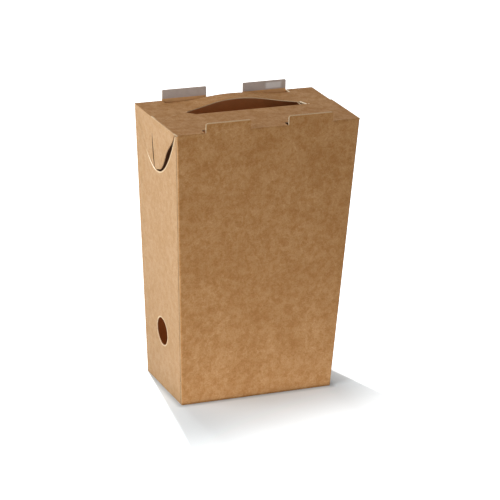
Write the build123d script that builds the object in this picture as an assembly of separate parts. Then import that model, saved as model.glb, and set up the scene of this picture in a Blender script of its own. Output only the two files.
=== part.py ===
from build123d import *
import math
import os

# Chip box: a tapered take-away box folded from one sheet of kraft board.
# Right is +X, back is +Y, up is +Z. The box stands on z = 0 and is centred on the origin.
# The front and rear walls each carry half of the lid. The front half laps over the rear half.

# Board
board = 0.5
fold_radius = 1.0
crease_radius = 0.4
crease_gap = 0.05
layer_gap = 0.2
kerf = 0.12

# Body
height = 185.0
top_width = 125.0
top_depth = 76.0
base_width = 105.0
base_depth = 63.0

# Upright tabs cut at the lid folds, two at the front and two at the back
tab_inner = 12.8
tab_outer = 43.4
tab_height = 6.4
front_tab_corner = 1.6
rear_tab_corner = 0.7
tab_clearance = 0.2

# Lid halves
front_reach = 6.2
recess_left = -38.3
recess_right = 48.0
recess_depth = 4.8
recess_run = 4.3
recess_radius = 2.0
rear_lap = 14.0
lid_side_inset = 1.2

# Hand hole in the rear half of the lid, with the strip behind it bowed up
hand_centre = 1.8
hand_half_length = 39.3
hand_front = -1.0
hand_end_depth = 9.8
hand_depth = 19.6
hand_end_run = 3.4
bow_start_margin = 0.5
strip_bow = 3.0

# Ears of the lid halves and the curved slit that takes them in each side panel
slit_margin = 3.0
slit_depth = 34.4
ear_lift = 0.5
ear_gap = 0.3
ear_slit_width = 1.6
ear_slit_top = 8.0
ear_slit_middle = 20.0
ear_rear_lean = 2.6
ear_toe = 0.9
ear_toe_lift = 0.4
ear_heel_lift = 0.8
ear_foot = -6.1
ear_foot_lift = 2.4
ear_wave = 0.4
ear_front_margin = 2.0
ear_front_clearance = 0.8
ear_proud = 0.4

# Tongue of the side panel, pushed in behind the ears, and the dust flap above it
tongue_push = 32.0
dust_reach = 22.0
dust_corner = 8.0
dust_margin = 1.6

# Round vent low in each side panel
vent_radius = 9.2
vent_height = 40.0

# Glued seam at the front left corner
seam_back = 1.3
seam_width = 0.6
seam_depth = 0.35
seam_gap_width = 0.9
seam_gap_low = 4.0
seam_gap_high = 16.0
glue_flap_width = 15.0
glue_flap_margin = 2.5

# Base: an outer and an inner flap over two short side flaps
base_edge_gap = 0.6
base_corner = 14.0
base_side_reach = 34.0
base_side_corner = 10.0

# Values that follow from the sizes above
slit_half_width = top_depth / 2 - slit_margin
slit_bottom = height - slit_depth
side_slope = (top_width - base_width) / 2 / height
front_slope = (top_depth - base_depth) / 2 / height
rim = height + tab_height
front_wall_top = height - board - crease_gap
rear_top = height - board - layer_gap
rear_under = rear_top - board
dust_under = rear_under - board
far = 2 * (top_width + top_depth)


def half_width(z):
    return base_width / 2 + side_slope * z


def half_depth(z):
    return base_depth / 2 + front_slope * z


def block(x0, x1, y0, y1, z0, z1):
    return Pos((x0 + x1) / 2, (y0 + y1) / 2, (z0 + z1) / 2) * Box(x1 - x0, y1 - y0, z1 - z0)


# Solid inside the four walls, set in from their outer faces, with its upright corners rounded
def tapered(z0, z1, inset, radius):
    views = []
    for half, view in ((half_width, Plane.XZ), (half_depth, Plane.YZ)):
        low = half(z0) - inset
        high = half(z1) - inset
        outline = make_face(Polyline((-low, z0), (low, z0), (high, z1), (-high, z1), close=True))
        views.append(extrude(view * outline, far, both=True))
    solid = views[0] & views[1]
    return fillet(solid.edges().group_by(Axis.Z)[1], radius)


def both_sides(shape):
    return shape + mirror(shape, about=Plane.YZ)


# Tapered tube of the four walls, tall enough for the tabs
tube_top = rim + board
outer = tapered(0, tube_top, 0, fold_radius)
inner = tapered(-board, tube_top + board, board, fold_radius - board)
tube = outer - inner

# Pair of tabs, cut from the tube on the side that the reach points to
def tab_pair(corner, reach):
    blank = Pos((tab_inner + tab_outer) / 2, rim - tab_height / 2 - board) * Rectangle(
        tab_outer - tab_inner, tab_height + 2 * board)
    blank = fillet(blank.vertices().group_by(Axis.Y)[-1], corner)
    return tube & both_sides(extrude(Plane.XZ * blank, reach))


# Walls cut to height: the front wall meets the lid fold, the sides stop under the lid
front_zone = block(-far, far, -far, -half_depth(rear_under) + board, rear_under, front_wall_top)
rear_zone = block(-far, far, half_depth(rear_under) - board, far, rear_under, rear_top)
ear_zone = block(-far, far, front_reach + ear_gap, far, rear_under, rear_top)
walls = tube & block(-far, far, -far, far, 0, rear_under)
walls = walls + (tube & front_zone) + (tube & rear_zone) + (tube & ear_zone)
walls = walls + tab_pair(front_tab_corner, far) + tab_pair(rear_tab_corner, -far)


# Area above a curved slit, drawn on the side view with its lowest point at the middle
def slit_area(half_span, lowest, top):
    low_left = (-half_span, top)
    low_right = (half_span, top)
    dip = (0, 2 * lowest - top)
    return make_face([Bezier(low_left, dip, low_right), Line(low_right, low_left)])


window = slit_area(slit_half_width, slit_bottom, height)
rear_ear_area = slit_area(slit_half_width - kerf, slit_bottom + ear_lift, height)
rear_ear_edge = front_reach + ear_gap
slit_top_point = (rear_ear_edge, height - ear_slit_top)
slit_middle_point = (rear_ear_edge + ear_slit_width - ear_rear_lean / 2, height - ear_slit_middle)
slit_low_point = (rear_ear_edge - ear_rear_lean + ear_gap, slit_bottom)
rear_ear_side = make_face([
    Line((rear_ear_edge, height), slit_top_point),
    ThreePointArc(slit_top_point, slit_middle_point, slit_low_point),
    Polyline(slit_low_point, (top_depth, slit_bottom), (top_depth, height), (rear_ear_edge, height))])
window_cut = extrude(Plane.YZ * (window - (rear_ear_area & rear_ear_side)), far, both=True)
walls = walls - window_cut

# Round vents
vent_cut = Pos(0, 0, vent_height) * Rot(0, 90, 0) * Cylinder(vent_radius, far)
walls = walls - vent_cut

# Tongue of each side panel, hanging from the dust fold and pushed in
tongue_lean = math.atan(side_slope) + math.radians(tongue_push)
tongue_fold = Plane(
    origin=(half_width(dust_under) - board - kerf, 0, dust_under),
    x_dir=(0, 1, 0),
    z_dir=(math.cos(tongue_lean), 0, -math.sin(tongue_lean)))
tongue_area = slit_area(slit_half_width - 2 * kerf, slit_bottom + kerf - dust_under, 0)
tongue = extrude(tongue_fold * tongue_area, -board)
dust_half = half_depth(dust_under) - dust_margin
dust_outer = half_width(dust_under) - board / 2
dust_blank = make_face(Polyline(
    (dust_outer, -dust_half),
    (dust_outer, dust_half),
    (dust_outer - dust_reach, dust_half - dust_corner),
    (dust_outer - dust_reach, dust_corner - dust_half),
    close=True))
dust_flap = extrude(Plane.XY.offset(dust_under) * dust_blank, board)
side_fold = both_sides(dust_flap + tongue)

# Rear half of the lid, lapping under the front half
rear_sheet = block(-half_width(rear_top), half_width(rear_top), rear_ear_edge,
                   half_depth(rear_top) - crease_radius, rear_under, rear_top)
rear_sheet = rear_sheet + block(
    lid_side_inset - half_width(rear_top), half_width(rear_top) - lid_side_inset,
    -rear_lap, rear_ear_edge, rear_under, rear_top)
tab_hole_front = half_depth(height) - tab_height
hand_left = hand_centre - hand_half_length
hand_right = hand_centre + hand_half_length
bow_front = hand_end_depth - bow_start_margin
bow_zone = block(hand_left, hand_right, bow_front, tab_hole_front, rear_under - board, rear_top + board)
tab_holes = both_sides(block(tab_inner, tab_outer, tab_hole_front, far,
                             rear_under - board, rear_top + board))
bridge_zone = block(-tab_inner, tab_inner, tab_hole_front, far, rear_under - board, rear_top + board)
rear_sheet = rear_sheet - bow_zone - tab_holes - bridge_zone


# Bowed strip: one arc over the middle, tangent to two hollow arcs that run out to its ends
bow_turn = hand_half_length / 2
bow_radius = (bow_turn ** 2 + (strip_bow / 2) ** 2) / strip_bow


def bow_point(x, drop=0):
    off = abs(x - hand_centre)
    out = off > bow_turn
    reach = hand_half_length - off if out else off
    rise = bow_radius - math.sqrt(bow_radius ** 2 - reach ** 2)
    return (x, rear_top - drop + (rise if out else strip_bow - rise))


def bow_line(stops, drop):
    runs = zip(stops[:-1], stops[1:])
    return [ThreePointArc(bow_point(a, drop), bow_point((a + b) / 2, drop), bow_point(b, drop))
            for a, b in runs]


def bow_section(stops):
    ends = [Line(bow_point(x), bow_point(x, board)) for x in (stops[0], stops[-1])]
    return make_face(bow_line(stops, 0) + bow_line(stops, board) + ends)


strip_section = bow_section((hand_left, hand_centre - bow_turn, hand_centre + bow_turn, hand_right))
strip = extrude(Plane.XZ.offset(-bow_front) * strip_section, bow_front - tab_hole_front)
fold_section = Pos(0, rear_top - board / 2) * Rectangle(2 * tab_inner, board)
bridge = loft([Plane.XZ.offset(-tab_hole_front) * bow_section((-tab_inner, tab_inner)),
               Plane.XZ.offset(-half_depth(rear_top) + board) * fold_section])
hand_hole = make_face([
    Polyline(
        (hand_left, hand_end_depth),
        (hand_left, hand_front),
        (hand_right + hand_end_run, hand_front),
        (hand_right, hand_end_depth)),
    ThreePointArc(
        (hand_right, hand_end_depth),
        (hand_centre, hand_depth),
        (hand_left, hand_end_depth))])
hand_cut = extrude(Plane.XY.offset(dust_under) * hand_hole, rim)
rear_lid = (rear_sheet + strip - hand_cut) + bridge

# Base flaps
base_block = outer & block(-far, far, -far, far, 0, 2 * board)
base_half_width = half_width(0) - base_edge_gap - board
base_front = base_edge_gap + board - half_depth(0)
outer_flap = make_face(Polyline(
    (-base_half_width, half_depth(0)),
    (-base_half_width, base_front + base_corner),
    (base_corner - base_half_width, base_front),
    (base_half_width - base_corner, base_front),
    (base_half_width, base_front + base_corner),
    (base_half_width, half_depth(0)),
    close=True))
flap_well = Rectangle(2 * (half_width(0) - board), 2 * (half_depth(0) - board))
base_recess = extrude(flap_well - outer_flap, board)
side_flap = make_face(Polyline(
    (half_width(0), half_depth(0) - board),
    (half_width(0) - base_side_reach, half_depth(0) - board - base_side_corner),
    (half_width(0) - base_side_reach, base_side_corner + board - half_depth(0)),
    (half_width(0), board - half_depth(0)),
    close=True))
side_base = both_sides(extrude(Plane.XY.offset(2 * board) * side_flap, board))
base = (base_block - base_recess) + (side_base & outer)


# Seam: the raw edge of the left panel stops short of the corner, over a glue flap inside
def seam_cutter(low, high, width, depth):
    ends = []
    for z in (low, high):
        place = Pos(-half_width(z), seam_back + width / 2 - half_depth(z), z)
        ends.append(place * Rectangle(2 * depth, width))
    return loft(ends)


def glue_end(z):
    near = board / 2 - half_width(z)
    width = board + board / 2
    place = Pos(near + width / 2, board / 2 - half_depth(z) + glue_flap_width / 2, z)
    return place * Rectangle(width, glue_flap_width)


glue_flap = loft([glue_end(board), glue_end(slit_bottom - glue_flap_margin)])
seam = seam_cutter(-board, rear_under, seam_width, seam_depth)
seam_gap = seam_cutter(seam_gap_low, seam_gap_high, seam_gap_width, board)

carton = walls + base + side_fold + rear_lid + glue_flap - seam - seam_gap

# Front half of the lid. It hinges on the top outer edge of the front wall.
lid_under = height - board
fold_line = -half_depth(height)
flange_start = fold_line + ear_front_margin
lid_half_width = half_width(height) + ear_proud
front_flap = block(-half_width(height), half_width(height), fold_line, flange_start,
                   lid_under, height)
front_flap = front_flap + block(-lid_half_width, lid_half_width, flange_start, front_reach,
                                lid_under, height)
top_edges = front_flap.edges().group_by(Axis.Z)[-1]
front_edge = top_edges.filter_by(Axis.X).group_by(Axis.Y)[0]
side_edges = top_edges.filter_by(Axis.Y)
ear_edges = side_edges.group_by(Axis.X)[0] + side_edges.group_by(Axis.X)[-1]
front_flap = fillet(front_edge + ear_edges, crease_radius)
front_holes = both_sides(block(
    tab_inner - tab_clearance, tab_outer + tab_clearance,
    -far, fold_line + tab_height + tab_clearance, lid_under - board, rim))
recess_floor = front_reach - recess_depth
recess = make_face(Polyline(
    (recess_left, front_reach),
    (recess_left + recess_run, recess_floor),
    (recess_right - recess_run, recess_floor),
    (recess_right, front_reach),
    close=True))
recess = fillet(recess.vertices().group_by(Axis.Y)[0], recess_radius)
front_flap = front_flap - front_holes - extrude(Plane.XY.offset(lid_under) * recess, board)

# Ears of the front half. Each hinges on the top outer edge of the lid side and leans with the wall.
ear_top = -board - crease_gap
ear_start = ear_front_clearance - slit_half_width
ear_front_top = (ear_start, ear_top)
ear_front_foot = (ear_foot, ear_foot_lift - slit_depth)


def along_front(share, wave):
    return tuple(a + share * (b - a) + wave for a, b in zip(ear_front_top, ear_front_foot))


ear_blank = make_face([
    Spline(ear_front_top, along_front(1 / 4, -ear_wave), along_front(1 / 2, ear_wave),
           along_front(3 / 4, -ear_wave), ear_front_foot),
    Polyline(
        ear_front_foot,
        (ear_toe, ear_toe_lift - slit_depth),
        (front_reach - ear_rear_lean, ear_heel_lift - slit_depth),
        (front_reach, -ear_slit_top),
        (front_reach, ear_top),
        ear_front_top)])
ear_lean = math.atan(side_slope + ear_proud / (height - slit_bottom))
ear_plane = Plane(
    origin=(lid_half_width, 0, height),
    x_dir=(0, 1, 0),
    z_dir=(math.cos(ear_lean), 0, -math.sin(ear_lean)))
ear_right = extrude(ear_plane * ear_blank, -board)
ear_left = mirror(ear_right, about=Plane.YZ)

os.makedirs("parts", exist_ok=True)
export_step(carton, "parts/carton.step")
export_step(front_flap, "parts/front_flap.step")
export_step(ear_right, "parts/ear_right.step")
export_step(ear_left, "parts/ear_left.step")
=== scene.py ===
import bpy
import math
from mathutils import Matrix, Vector

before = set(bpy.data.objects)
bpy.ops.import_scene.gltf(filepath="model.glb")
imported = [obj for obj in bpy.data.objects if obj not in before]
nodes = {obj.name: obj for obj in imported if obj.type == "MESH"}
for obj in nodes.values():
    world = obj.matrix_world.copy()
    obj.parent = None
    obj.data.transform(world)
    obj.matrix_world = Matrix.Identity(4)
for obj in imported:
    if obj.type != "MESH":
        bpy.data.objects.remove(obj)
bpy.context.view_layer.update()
scene = bpy.context.scene

# Sizes of the box that its finish follows, in metres
HEIGHT = 0.185
BASE_HALF = (0.0525, 0.0315)
TOP_HALF = (0.0625, 0.038)
SLOPE = tuple((top - base) / HEIGHT for top, base in zip(TOP_HALF, BASE_HALF))
BOARD = 0.0005
FOLD_RADIUS = 0.001
FRONT_REACH = 0.0062
TAB_HEIGHT = 0.0064
TAB_LEFT_EDGES = (-0.0434, 0.0128)
TAB_HOLE_FRONT = 0.0318
SLIT_HALF_WIDTH = 0.035
SLIT_DEPTH = 0.0344
SLIT_BOTTOM = HEIGHT - SLIT_DEPTH
REAR_EAR_FRONT = 0.0025
VENT_RADIUS = 0.0092
VENT_HEIGHT = 0.040
HAND_CENTRE = 0.0018
HAND_HALF_LENGTH = 0.0393
HAND_END_DEPTH = 0.0098
HAND_DEPTH = 0.0196
HAND_END = ((0.0411, 0.0098), (0.0437, 0.0014))
DUST_TOP = HEIGHT - 0.0012
SEAM_BACK = 0.0013
SEAM_WIDTH = 0.0006


# Shader graph helper
class Graph:
    def __init__(self, owner):
        owner.use_nodes = True
        self.tree = owner.node_tree
        self.tree.nodes.clear()

    def node(self, kind, **settings):
        made = self.tree.nodes.new(kind)
        for key, value in settings.items():
            setattr(made, key, value)
        return made

    def feed(self, socket, value):
        if isinstance(value, bpy.types.NodeSocket):
            self.tree.links.new(value, socket)
        elif value is not None:
            socket.default_value = value

    def surface(self, kind, shader):
        self.feed(self.node(kind).inputs["Surface"], shader)

    def blend(self, factor, a, b):
        made = self.node("ShaderNodeMixShader")
        for socket, value in zip(made.inputs, (factor, a, b)):
            self.feed(socket, value)
        return made.outputs[0]

    def math(self, operation, a, b=None, c=None):
        made = self.node("ShaderNodeMath", operation=operation)
        for socket, value in zip(made.inputs, (a, b, c)):
            self.feed(socket, value)
        return made.outputs[0]

    def chain(self, operation, terms):
        total = terms[0]
        for term in terms[1:]:
            total = self.math(operation, total, term)
        return total

    def sum(self, *terms):
        return self.chain("ADD", terms)

    def product(self, *terms):
        return self.chain("MULTIPLY", terms)

    def most(self, *terms):
        return self.chain("MAXIMUM", terms)

    def minus(self, a, b):
        return self.math("SUBTRACT", a, b)

    def over(self, value, limit):
        return self.math("GREATER_THAN", value, limit)

    def under(self, value, limit):
        return self.math("LESS_THAN", value, limit)

    def vector(self, operation, a, b=None):
        made = self.node("ShaderNodeVectorMath", operation=operation)
        for socket, value in zip(made.inputs, (a, b)):
            self.feed(socket, value)
        return made.outputs["Value"] if operation in ("DOT_PRODUCT", "LENGTH") else made.outputs[0]

    def split(self, vector):
        made = self.node("ShaderNodeSeparateXYZ")
        self.feed(made.inputs[0], vector)
        return tuple(made.outputs)

    def join(self, x, y, z):
        made = self.node("ShaderNodeCombineXYZ")
        for socket, value in zip(made.inputs, (x, y, z)):
            self.feed(socket, value)
        return made.outputs[0]

    def noise(self, place, scale, detail, roughness, distortion):
        made = self.node("ShaderNodeTexNoise")
        self.feed(made.inputs["Vector"], place)
        made.inputs["Scale"].default_value = scale
        made.inputs["Detail"].default_value = detail
        made.inputs["Roughness"].default_value = roughness
        made.inputs["Distortion"].default_value = distortion
        return made.outputs["Fac"]

    def spread(self, value, low, high, out_low=0.0, out_high=1.0):
        made = self.node("ShaderNodeMapRange", interpolation_type="SMOOTHSTEP")
        for socket, number in zip(made.inputs, (value, low, high, out_low, out_high)):
            self.feed(socket, number)
        return made.outputs[0]

    def mix_colours(self, how, factor, a, b):
        made = self.node("ShaderNodeMix", data_type="RGBA", blend_type=how)
        self.feed(made.inputs["Factor"], factor)
        for socket, value in ((made.inputs[6], a), (made.inputs[7], b)):
            self.feed(socket, (*value, 1.0) if isinstance(value, tuple) else value)
        return made.outputs[2]

    def mix(self, factor, a, b):
        return self.mix_colours("MIX", factor, a, b)

    def shade(self, colour, factor):
        grey = self.node("ShaderNodeCombineColor")
        for socket in grey.inputs:
            self.feed(socket, factor)
        return self.mix_colours("MULTIPLY", 1.0, colour, grey.outputs[0])


# Colours of the board
BROWN = (0.270, 0.124, 0.037)
PALE = (0.365, 0.195, 0.078)
# Side panels: paler, greyer board colours as a painted sheen of the light raking across them
SHEEN_SIDE_BROWN = (0.285, 0.168, 0.077)
SHEEN_SIDE_PALE = (0.330, 0.208, 0.109)
DARK_FIBRE = (0.190, 0.085, 0.030)
PALE_THREAD = (0.46, 0.27, 0.12)
# Pale thread on the side panels, with the same painted sheen
SHEEN_SIDE_THREAD = (0.36, 0.235, 0.13)
LINING = (0.345, 0.158, 0.058)
# Grey painted reflection of the film's gloss on the upright tabs, and its brighter painted highlight
TAB_PAINTED_REFLECTION = (0.400, 0.355, 0.330)
TAB_PAINTED_HIGHLIGHT = (0.660, 0.670, 0.680)
# Painted light on the inner face of the rear wall seen through the tab holes, lighter than its shade
POCKET_PAINTED_LIGHT = (0.56, 0.32, 0.14)
# Pale raw edge of the board, also used as a painted highlight along cut edges that face the light
CUT_EDGE_AND_HIGHLIGHT = (0.50, 0.38, 0.24)
BRIGHT_EDGE = (0.90, 0.77, 0.58)
SHADED = (0.018, 0.008, 0.003)

# Share of the normal along an axis from which a face counts as turned that way
FLAT = 0.5
FACING = 0.7
SIDEWAYS = (0.55, 0.85)
INWARD = (0.02, -0.02)


# Where a point of the box lies: its place, its normal and its depth under the outer face
class Place:
    def __init__(self, g):
        self.g = g
        source = g.node("ShaderNodeTexCoord")
        self.position = source.outputs["Object"]
        self.normal = source.outputs["Normal"]
        self.x, self.y, self.z = g.split(self.position)
        self.across = [g.math("ABSOLUTE", n) for n in g.split(self.normal)]
        self.wide = g.math("ABSOLUTE", self.x)
        self.depth = self.wall_depth()
        self.above_slit, self.below_slit = self.curved_slit()
        self.side = g.spread(self.across[0], *SIDEWAYS)
        self.inside = self.inner_face()

    def wall_depth(self):
        g = self.g
        sides = []
        for value, base, slope in zip((self.x, self.y), BASE_HALF, SLOPE):
            half = g.math("MULTIPLY_ADD", self.z, slope, base)
            sides.append(g.minus(g.math("ABSOLUTE", value), g.minus(half, FOLD_RADIUS)))
        past = g.vector("LENGTH", g.join(*(g.most(side, 0.0) for side in sides), 0.0))
        within = g.math("MINIMUM", g.most(*sides), 0.0)
        return g.minus(g.sum(past, within), FOLD_RADIUS)

    def inner_face(self):
        g = self.g
        from_middle = g.vector("SUBTRACT", self.position, (0.0, 0.0, HEIGHT / 2))
        facing = g.vector("DOT_PRODUCT", g.vector("NORMALIZE", from_middle), self.normal)
        return g.spread(facing, *INWARD)

    # Height above the curved slit, and the distance below it square to its edge
    def curved_slit(self):
        g = self.g
        share = g.math("DIVIDE", self.y, SLIT_HALF_WIDTH)
        edge = g.math("MULTIPLY_ADD", g.product(share, share), SLIT_DEPTH, SLIT_BOTTOM)
        steep = g.product(share, 2 * SLIT_DEPTH / SLIT_HALF_WIDTH)
        stretch = g.math("SQRT", g.math("MULTIPLY_ADD", steep, steep, 1.0))
        above = g.minus(self.z, edge)
        return above, g.math("DIVIDE", above, g.product(stretch, -1.0))

    def from_line(self, value, line):
        return self.g.math("ABSOLUTE", self.g.minus(value, line))

    def near(self, value, line, reach):
        return self.g.under(self.from_line(value, line), reach)


# Raw edges of the board at holes, slits and free edges
WALL_CORE = (-0.8 * BOARD, -0.2 * BOARD)
BELOW_LID = 0.0012
LID_BAND = 0.0042
LID_INSET = -1.5 * BOARD


def raw_edges(g, at):
    in_wall = g.product(g.under(at.depth, WALL_CORE[1]), g.over(at.depth, WALL_CORE[0]),
                        g.over(at.from_line(at.z, HEIGHT - BOARD), BELOW_LID))
    in_lid = g.product(g.under(at.across[2], FLAT), at.near(at.z, HEIGHT, LID_BAND),
                       g.under(at.depth, LID_INSET))
    return g.most(in_wall, in_lid)


# Widths, upper ends and strengths of the pale lips along cut edges: the board's pale raw edge with a
# painted highlight where an edge faces the light
LIP = 0.0007
SIDE_LIP = 0.0011
HAND_END_LIP = 1.8 * LIP
TAB_END_LIP = 1.2 * LIP
REAR_LIP_TOP = (0.162, 0.157)
FOOT_LIP_TOP = (0.158, 0.153)
TAB_TOP_STRENGTH = 0.75
HAND_STRENGTH = 0.15
FOOT_STRENGTH = 0.6
LIP_STRENGTH = 0.8


def lip(g, distance, width=LIP):
    return g.product(g.spread(distance, width, 0.6 * width), g.over(distance, -0.1 * width))


def tab_lips(g, at):
    left = g.math("MINIMUM", *(at.from_line(at.x, edge) for edge in TAB_LEFT_EDGES))
    top = g.minus(HEIGHT + TAB_HEIGHT, at.z)
    on_tab = g.product(g.over(at.z, HEIGHT), g.over(at.across[1], FACING))
    return g.product(on_tab, g.most(lip(g, left), g.product(lip(g, top), TAB_TOP_STRENGTH)))


# Pale lip of the curved slit, partly a painted highlight: along the whole front arm, and on the rear arm
# only low down, where the edge turns up to the light
def slit_lips(g, at):
    front = g.minus(1.0, g.over(at.y, 0.0))
    shown = g.most(front, g.spread(at.z, *REAR_LIP_TOP))
    return g.product(at.side, shown, lip(g, at.below_slit, SIDE_LIP))


def vent_lips(g, at):
    radius = g.vector("LENGTH", g.join(at.y, g.minus(at.z, VENT_HEIGHT), 0.0))
    return g.product(at.side, lip(g, g.minus(radius, VENT_RADIUS), SIDE_LIP))


def on_lid(g, at):
    return g.product(g.over(at.z, HEIGHT - 2 * BOARD), g.over(at.across[2], FLAT))


def hand_lips(g, at):
    rise = HAND_DEPTH - HAND_END_DEPTH
    radius = (HAND_HALF_LENGTH ** 2 + rise ** 2) / (2 * rise)
    reach = g.vector("LENGTH", g.join(g.minus(at.x, HAND_CENTRE),
                                      g.minus(at.y, HAND_DEPTH - radius), 0.0))
    along_arc = g.product(g.under(at.x, HAND_END[0][0]), lip(g, g.minus(reach, radius)))
    return g.product(on_lid(g, at), along_arc, HAND_STRENGTH)


# Distance to the right of a line on the lid
def right_of(g, at, line):
    (x0, y0), (x1, y1) = line
    run = math.hypot(x1 - x0, y1 - y0)
    return g.sum(g.product(g.minus(at.x, x0), (y0 - y1) / run),
                 g.product(g.minus(at.y, y0), (x1 - x0) / run))


# Lips that catch the light: at the right of the hand hole and of a tab hole, and behind the rear ear
def bright_lips(g, at):
    (_, y0), (_, y1) = HAND_END
    hand_end = g.product(at.near(at.y, (y0 + y1) / 2, (y0 - y1) / 2),
                         lip(g, right_of(g, at, HAND_END), HAND_END_LIP))
    tab_end = g.product(g.over(at.y, TAB_HOLE_FRONT),
                        lip(g, g.minus(at.x, -TAB_LEFT_EDGES[0]), TAB_END_LIP))
    foot = g.product(at.side, g.over(at.y, REAR_EAR_FRONT), g.spread(at.z, *FOOT_LIP_TOP),
                     lip(g, at.below_slit, SIDE_LIP), FOOT_STRENGTH)
    return g.most(g.product(on_lid(g, at), g.most(hand_end, tab_end)), foot)


# Fold between the lid and its ears, pale along the front half: wear on the fold and a painted highlight
# where the light catches its rounding
RUB_WIDTH = (0.0013, 0.0007)
RUB_MIDDLE = (-0.004, 0.004, 0.35, 1.0)
RUB_CORNER = (-0.030, -0.035)


def worn_and_highlit_folds(g, at):
    distance = g.minus(TOP_HALF[0] + BOARD, at.wide)
    on_front_half = g.product(at.near(at.z, HEIGHT, BOARD), g.under(at.y, FRONT_REACH))
    worn = g.most(g.spread(at.y, *RUB_MIDDLE), g.spread(at.y, *RUB_CORNER))
    return g.product(on_front_half, worn, g.spread(distance, *RUB_WIDTH))


# Limits of the places painted with deep shade, and how dark each of them is
SHADE_MARGIN = 0.001
TONGUE_DEPTH = -1.2 * BOARD
TONGUE_HALF_WIDTH = 0.035
OCCLUSION_REACH = 0.02
OCCLUSION_RANGE = (0.90, 0.65)
REAR_WALL_INSIDE = 0.030
CORNER_ACROSS = (0.022, 0.036)
CORNER_HEIGHT = 0.148
CORNER_REACH = (0.035, 0.012)
CORNER_SHADE = 0.9
DUST_HALF_WIDTH = 0.046
DUST_MIDDLE, DUST_REACH = 0.008, 0.008
DUST_SHADE = 0.72
EAR_GAP_MIDDLE, EAR_GAP_REACH = 0.0055, 0.0045
EAR_GAP_FACING = 0.6
EAR_GAP_OUT = 0.055
EAR_GAP_TOP = HEIGHT - 0.005
GROOVE_LEFT = -0.05
GROOVE_TOP = HEIGHT - 0.002
GROOVE_MARGIN = 0.0001
GROOVE_SHADE = 0.4


# Painted shade on the tongue behind the ears
def behind_ears(g, at):
    occlusion = g.node("ShaderNodeAmbientOcclusion", samples=8)
    occlusion.inputs["Distance"].default_value = OCCLUSION_REACH
    return g.product(g.under(at.depth, TONGUE_DEPTH), g.over(at.above_slit, -SHADE_MARGIN),
                     g.over(at.z, SLIT_BOTTOM - SHADE_MARGIN), g.under(at.z, HEIGHT - 3 * BOARD),
                     g.over(at.wide, TONGUE_HALF_WIDTH),
                     g.spread(occlusion.outputs["AO"], *OCCLUSION_RANGE))


# Painted shade on the inside of the rear wall behind the tongue
def far_corner(g, at):
    return g.product(at.inside, g.over(at.y, REAR_WALL_INSIDE), g.spread(at.wide, *CORNER_ACROSS),
                     g.spread(at.from_line(at.z, CORNER_HEIGHT), *CORNER_REACH), CORNER_SHADE)


# Painted shade on the dust flap under the ends of the hand hole
def dust_flap(g, at):
    return g.product(at.near(at.z, DUST_TOP, 0.4 * BOARD), g.over(at.across[2], FACING),
                     g.under(at.wide, DUST_HALF_WIDTH), at.near(at.y, DUST_MIDDLE, DUST_REACH),
                     DUST_SHADE)


# Painted shade on the edges that face each other between two ears
def ear_gap(g, at):
    return g.product(g.over(at.above_slit, BOARD), g.over(at.across[1], EAR_GAP_FACING),
                     g.over(at.wide, EAR_GAP_OUT), at.near(at.y, EAR_GAP_MIDDLE, EAR_GAP_REACH),
                     g.under(at.z, EAR_GAP_TOP))


# Painted shade in the groove of the glued seam
def seam_groove(g, at):
    behind_corner = g.sum(at.y, g.math("MULTIPLY_ADD", at.z, SLOPE[1], BASE_HALF[1]))
    return g.product(g.under(at.x, GROOVE_LEFT), g.under(at.z, GROOVE_TOP),
                     at.near(behind_corner, SEAM_BACK + SEAM_WIDTH / 2, SEAM_WIDTH / 2 + GROOVE_MARGIN),
                     GROOVE_SHADE)


# Scale, detail, roughness and distortion of the pulp, its clumps, fibres, flecks and curled threads
CLOUD = (48.0, 2.0, 0.5, 0.2)
CLUMP = (230.0, 4.0, 0.60, 0.3)
FIBRE = (850.0, 3.0, 0.65, 1.2)
FLECK = (640.0, 2.0, 0.5, 3.0)
CURL = (130.0, 2.0, 0.5, 2.2)
NOISE_RANGE = (0.3, 0.7)


class Grain:
    def __init__(self, g, at):
        self.cloud, self.clump, self.fibre, self.fleck, self.curl = (
            g.noise(at.position, *each) for each in (CLOUD, CLUMP, FIBRE, FLECK, CURL))


# Outer face: pale clumps in brown pulp, dark flecks, fine fibres and curled threads, in paler, greyer
# colours on the side panels as a painted sheen
CLOUD_SHARE = 0.35
FIBRE_SHARE = 0.75
PULP_RANGE = (0.74, 1.36)
FLECK_RANGE = (0.68, 0.80, 0.0, 0.3)
FIBRE_TONE = (0.95, 1.05)
THREAD_WIDTH = (0.030, 0.004)
THREAD_CLOUD = (0.45, 0.6)
THREAD_CLUMP = (0.42, 0.58)
THREAD_STRENGTH = 0.45


def outer_face(g, at, grain):
    pulp = g.sum(grain.clump, g.product(grain.cloud, CLOUD_SHARE),
                 g.product(grain.fibre, FIBRE_SHARE))
    pale = g.spread(pulp, *PULP_RANGE)
    colour = g.mix(at.side, g.mix(pale, BROWN, PALE), g.mix(pale, SHEEN_SIDE_BROWN, SHEEN_SIDE_PALE))
    colour = g.mix(g.spread(grain.fleck, *FLECK_RANGE), colour, DARK_FIBRE)
    colour = g.shade(colour, g.spread(grain.fibre, *NOISE_RANGE, *FIBRE_TONE))
    thread = g.product(g.spread(at.from_line(grain.curl, 0.5), *THREAD_WIDTH),
                       g.spread(grain.cloud, *THREAD_CLOUD),
                       g.spread(grain.clump, *THREAD_CLUMP), THREAD_STRENGTH)
    return g.mix(thread, colour, g.mix(at.side, PALE_THREAD, SHEEN_SIDE_THREAD))


# Film on the inner side: brown in the box; on the upright tabs a grey painted reflection of the film's
# gloss, with a brighter painted highlight patch
POCKET_MIDDLE, POCKET_REACH = HEIGHT - 0.0015, 0.0022
SHEEN_MIDDLE = (0.0345, 0.1882)
SHEEN_WIDTH = (0.0065, 0.0045)
SHEEN_HEIGHT = (0.0026, 0.0014)
SHEEN_STRENGTH = 0.8
FILM_TONE = (0.94, 1.06)


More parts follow.
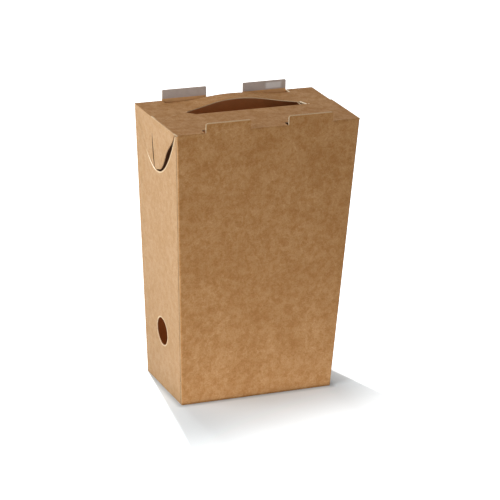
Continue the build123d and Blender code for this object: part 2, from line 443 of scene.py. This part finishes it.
def film_side(g, at, grain):
    on_tabs = g.over(at.z, HEIGHT + BOARD)
    # Painted light in the pocket below the tabs
    below_tabs = g.product(at.near(at.z, POCKET_MIDDLE, POCKET_REACH),
                           g.over(at.y, TOP_HALF[1] - 3 * BOARD))
    sheen = g.product(g.spread(at.from_line(at.x, SHEEN_MIDDLE[0]), *SHEEN_WIDTH),
                      g.spread(at.from_line(at.z, SHEEN_MIDDLE[1]), *SHEEN_HEIGHT))
    tab_reflection = g.mix(g.product(sheen, SHEEN_STRENGTH), TAB_PAINTED_REFLECTION, TAB_PAINTED_HIGHLIGHT)
    colour = g.mix(on_tabs, g.mix(below_tabs, LINING, POCKET_PAINTED_LIGHT), tab_reflection)
    return g.shade(colour, g.spread(grain.clump, *NOISE_RANGE, *FILM_TONE))


# Kraft board: matt outside, a little smoother on the film side
ROUGHNESS = (0.68, 0.58)
FILM_SMOOTHER = 0.22
SPECULAR = (0.10, 0.5)
BUMP_STRENGTH = 0.35
BUMP_DISTANCE = 0.00006
CLUMP_HEIGHT = 1.6


def kraft(name):
    material = bpy.data.materials.new(name)
    g = Graph(material)
    at = Place(g)
    grain = Grain(g, at)

    colour = g.mix(at.inside, outer_face(g, at, grain), film_side(g, at, grain))
    # Pale cut edges with painted highlights along the tab, slit, vent and hand-hole edges and on the ear
    # folds
    lips_and_highlights = g.most(*(each(g, at) for each in (tab_lips, slit_lips, vent_lips, hand_lips, worn_and_highlit_folds)))
    outside = g.minus(1.0, at.inside)
    colour = g.mix(g.product(lips_and_highlights, outside, LIP_STRENGTH), colour, CUT_EDGE_AND_HIGHLIGHT)
    colour = g.mix(g.product(bright_lips(g, at), outside), colour, BRIGHT_EDGE)
    colour = g.mix(raw_edges(g, at), colour, CUT_EDGE_AND_HIGHLIGHT)
    # Painted shade in the slit pocket, the far corner, under the hand hole's ends, between the ears and
    # in the seam's groove
    dark = g.most(*(each(g, at) for each in (behind_ears, far_corner, dust_flap, ear_gap, seam_groove)))
    colour = g.mix(dark, colour, SHADED)

    bump = g.node("ShaderNodeBump")
    bump.inputs["Strength"].default_value = BUMP_STRENGTH
    bump.inputs["Distance"].default_value = BUMP_DISTANCE
    g.feed(bump.inputs["Height"], g.math("MULTIPLY_ADD", grain.clump, CLUMP_HEIGHT, grain.fibre))
    rough = g.minus(g.spread(grain.clump, *NOISE_RANGE, *ROUGHNESS), g.product(at.inside, FILM_SMOOTHER))

    shader = g.node("ShaderNodeBsdfPrincipled")
    g.feed(shader.inputs["Base Color"], colour)
    g.feed(shader.inputs["Roughness"], rough)
    g.feed(shader.inputs["Specular IOR Level"], g.spread(at.inside, 0.0, 1.0, *SPECULAR))
    g.feed(shader.inputs["Normal"], bump.outputs[0])
    g.surface("ShaderNodeOutputMaterial", shader.outputs[0])
    return material


board = kraft("kraft_board")
for each in nodes.values():
    each.data.materials.clear()
    each.data.materials.append(board)


# Rays that see the backdrop: straight from the camera, in a reflection or through a gap
def seen_rays(g):
    rays = g.node("ShaderNodeLightPath")
    return g.most(rays.outputs["Is Camera Ray"], rays.outputs["Is Glossy Ray"],
                  rays.outputs["Is Transmission Ray"])


# Floor: plain and pale, lifted nearly white where it is seen; near the foot the shadow is partly cast by
# the lamps and partly painted shadow: its fade, its straight side edges, the dark line at the foot,
# darker to the left and lighter to the right
FLOOR_HALF = 6.0
FLOOR_COLOUR = (0.85, 0.85, 0.86)
FLOOR_SEEN = (0.765, 0.805, 0.825)
FLOOR_LIFT = 0.08
CONTACT_PAINTED_SHADE = (0.0, 0.005, 0.55, 1.0)
LEFT_PAINTED_SHADE = (-0.09, -0.02, 0.84, 1.0)
RIGHT_PAINTED_LIGHT = (0.050, 0.060, 1.0, 1.1)
SHADOW_REACH = 0.086
SHADOW_SQUEEZE = (0.4, 0.7, 0.0)
SHADOW_SLANT = 0.26
SLANT_END = 0.045
SHADOW_TURN = (0.154, 0.31)
REAR_EDGE = (0.001, -0.001)
SIDE_EDGE = (1.0, -1.0)
EDGE_BLUR = (0.0006, 0.03)
WHITE = (1.0, 1.0, 1.0)


def floor_material():
    material = bpy.data.materials.new("floor_pale")
    g = Graph(material)
    place = g.node("ShaderNodeTexCoord").outputs["Object"]
    x, y, _ = g.split(place)
    past_foot = g.vector("MAXIMUM", g.vector("SUBTRACT", g.vector("ABSOLUTE", place), (*BASE_HALF, 0.0)),
                         (0.0, 0.0, 0.0))
    # Painted shade: darker at the foot and on the left, lighter on the right
    painted_floor_shade = g.product(g.spread(g.vector("LENGTH", past_foot), *CONTACT_PAINTED_SHADE), g.spread(x, *LEFT_PAINTED_SHADE),
                     g.spread(x, *RIGHT_PAINTED_LIGHT))

    # Painted shadow: it fades forward, and ends on both sides in a line that runs on from a rear corner
    away = g.vector("LENGTH", g.vector("MULTIPLY", past_foot, SHADOW_SQUEEZE))
    slant = g.product(g.math("MINIMUM", x, SLANT_END), SHADOW_SLANT)
    fade = g.spread(g.sum(slant, away), 0.0, SHADOW_REACH, FLOOR_LIFT, 1.0)
    forward = g.minus(BASE_HALF[1], y)
    blur = g.math("MULTIPLY_ADD", g.most(forward, 0.0), EDGE_BLUR[1], EDGE_BLUR[0])
    lit = [g.spread(forward, *REAR_EDGE)]
    for turn, sideways in zip(SHADOW_TURN, (x, g.product(x, -1.0))):
        in_shadow = g.sum(sideways, g.product(forward, turn), BASE_HALF[0])
        lit.append(g.spread(g.math("DIVIDE", in_shadow, blur), *SIDE_EDGE))

    plain, seen = (g.node("ShaderNodeBsdfDiffuse") for _ in range(2))
    g.feed(plain.inputs["Color"], (*FLOOR_COLOUR, 1.0))
    g.feed(seen.inputs["Color"], g.shade(FLOOR_SEEN, painted_floor_shade))
    lift = g.node("ShaderNodeEmission")
    g.feed(lift.inputs["Color"], (*WHITE, 1.0))
    g.feed(lift.inputs["Strength"], g.most(fade, *lit))
    both = g.node("ShaderNodeAddShader")
    g.feed(both.inputs[0], seen.outputs[0])
    g.feed(both.inputs[1], lift.outputs[0])
    g.surface("ShaderNodeOutputMaterial", g.blend(seen_rays(g), plain.outputs[0], both.outputs[0]))
    return material


mesh = bpy.data.meshes.new("floor")
corners = [(-1, -1), (1, -1), (1, 1), (-1, 1)]
mesh.from_pydata([(a * FLOOR_HALF, b * FLOOR_HALF, 0) for a, b in corners], [], [(0, 1, 2, 3)])
floor = bpy.data.objects.new("floor", mesh)
floor.data.materials.append(floor_material())
scene.collection.objects.link(floor)

# World: even light on the object, white where it is seen
AMBIENT = 0.24


def backdrop():
    world = bpy.data.worlds.new("studio")
    g = Graph(world)
    lights = []
    for strength in (AMBIENT, 1.0):
        light = g.node("ShaderNodeBackground")
        g.feed(light.inputs["Color"], (*WHITE, 1.0))
        g.feed(light.inputs["Strength"], strength)
        lights.append(light.outputs[0])
    g.surface("ShaderNodeOutputWorld", g.blend(seen_rays(g), *lights))
    return world


scene.world = backdrop()


def lamp(name, kind, location, watts, colour):
    data = bpy.data.lights.new(name, kind)
    data.energy = watts
    data.color = colour
    made = bpy.data.objects.new(name, data)
    made.location = location
    made.visible_camera = False
    scene.collection.objects.link(made)
    return made


def softbox(name, location, target, size, watts, colour=WHITE):
    made = lamp(name, "AREA", location, watts, colour)
    made.data.shape = "RECTANGLE"
    made.data.size, made.data.size_y = size
    made.rotation_mode = "QUATERNION"
    made.rotation_quaternion = (Vector(target) - Vector(location)).to_track_quat("-Z", "Y")


# Large softbox on the left, a long one behind and above, and a weak one in front
MIDDLE = (0.0, 0.0, 0.09)
BROAD = (0.6, 0.4)
softbox("softbox_left", (-0.62, -0.05, 0.28), MIDDLE, BROAD, 5.5)
softbox("softbox_back", (-0.05, 0.75, 1.40), (0.0, -0.05, 0.0), (0.30, 1.20), 10.4)
softbox("softbox_front", (0.0, -1.2, 0.35), MIDDLE, BROAD, 2.4)

# Cool light from the floor on the foot of the front
CARD_X, CARD_Y = -0.02, -0.0925
COOL = (0.96, 1.0, 1.08)
softbox("card_front", (CARD_X, CARD_Y, 0.0005), (CARD_X, CARD_Y, 1.0), (0.30, 0.12), 0.17, COOL)

# Warm light that the thin board lets through into the box
WARM = (1.0, 0.70, 0.45)
glow = lamp("inside_glow", "POINT", MIDDLE, 0.09, WARM)
glow.data.shadow_soft_size = 0.02

# Camera at the photograph's viewing angle
AZIMUTH, ELEVATION, ROLL = (math.radians(a) for a in (-23.071, 19.766, 1.741))
DISTANCE = 1.7722
LENS = 196.08
SHIFT = (0.0152, -0.0075)
back = Vector((math.sin(AZIMUTH) * math.cos(ELEVATION), -math.cos(AZIMUTH) * math.cos(ELEVATION),
               math.sin(ELEVATION)))
right = Vector((0, 0, 1)).cross(back).normalized()
up = back.cross(right)
right, up = (math.cos(ROLL) * right + math.sin(ROLL) * up,
             math.cos(ROLL) * up - math.sin(ROLL) * right)
camera_data = bpy.data.cameras.new("camera")
camera_data.sensor_width = 36.0
camera_data.lens = LENS
camera_data.shift_x, camera_data.shift_y = SHIFT
camera_data.clip_start, camera_data.clip_end = 0.01, 50.0
camera = bpy.data.objects.new("camera", camera_data)
turn = Matrix((right, up, back)).transposed().to_4x4()
camera.matrix_world = Matrix.Translation(Vector((0, 0, HEIGHT / 2)) + back * DISTANCE) @ turn
scene.collection.objects.link(camera)
scene.camera = camera

scene.view_settings.view_transform = "Standard"

bpy.context.view_layer.update()
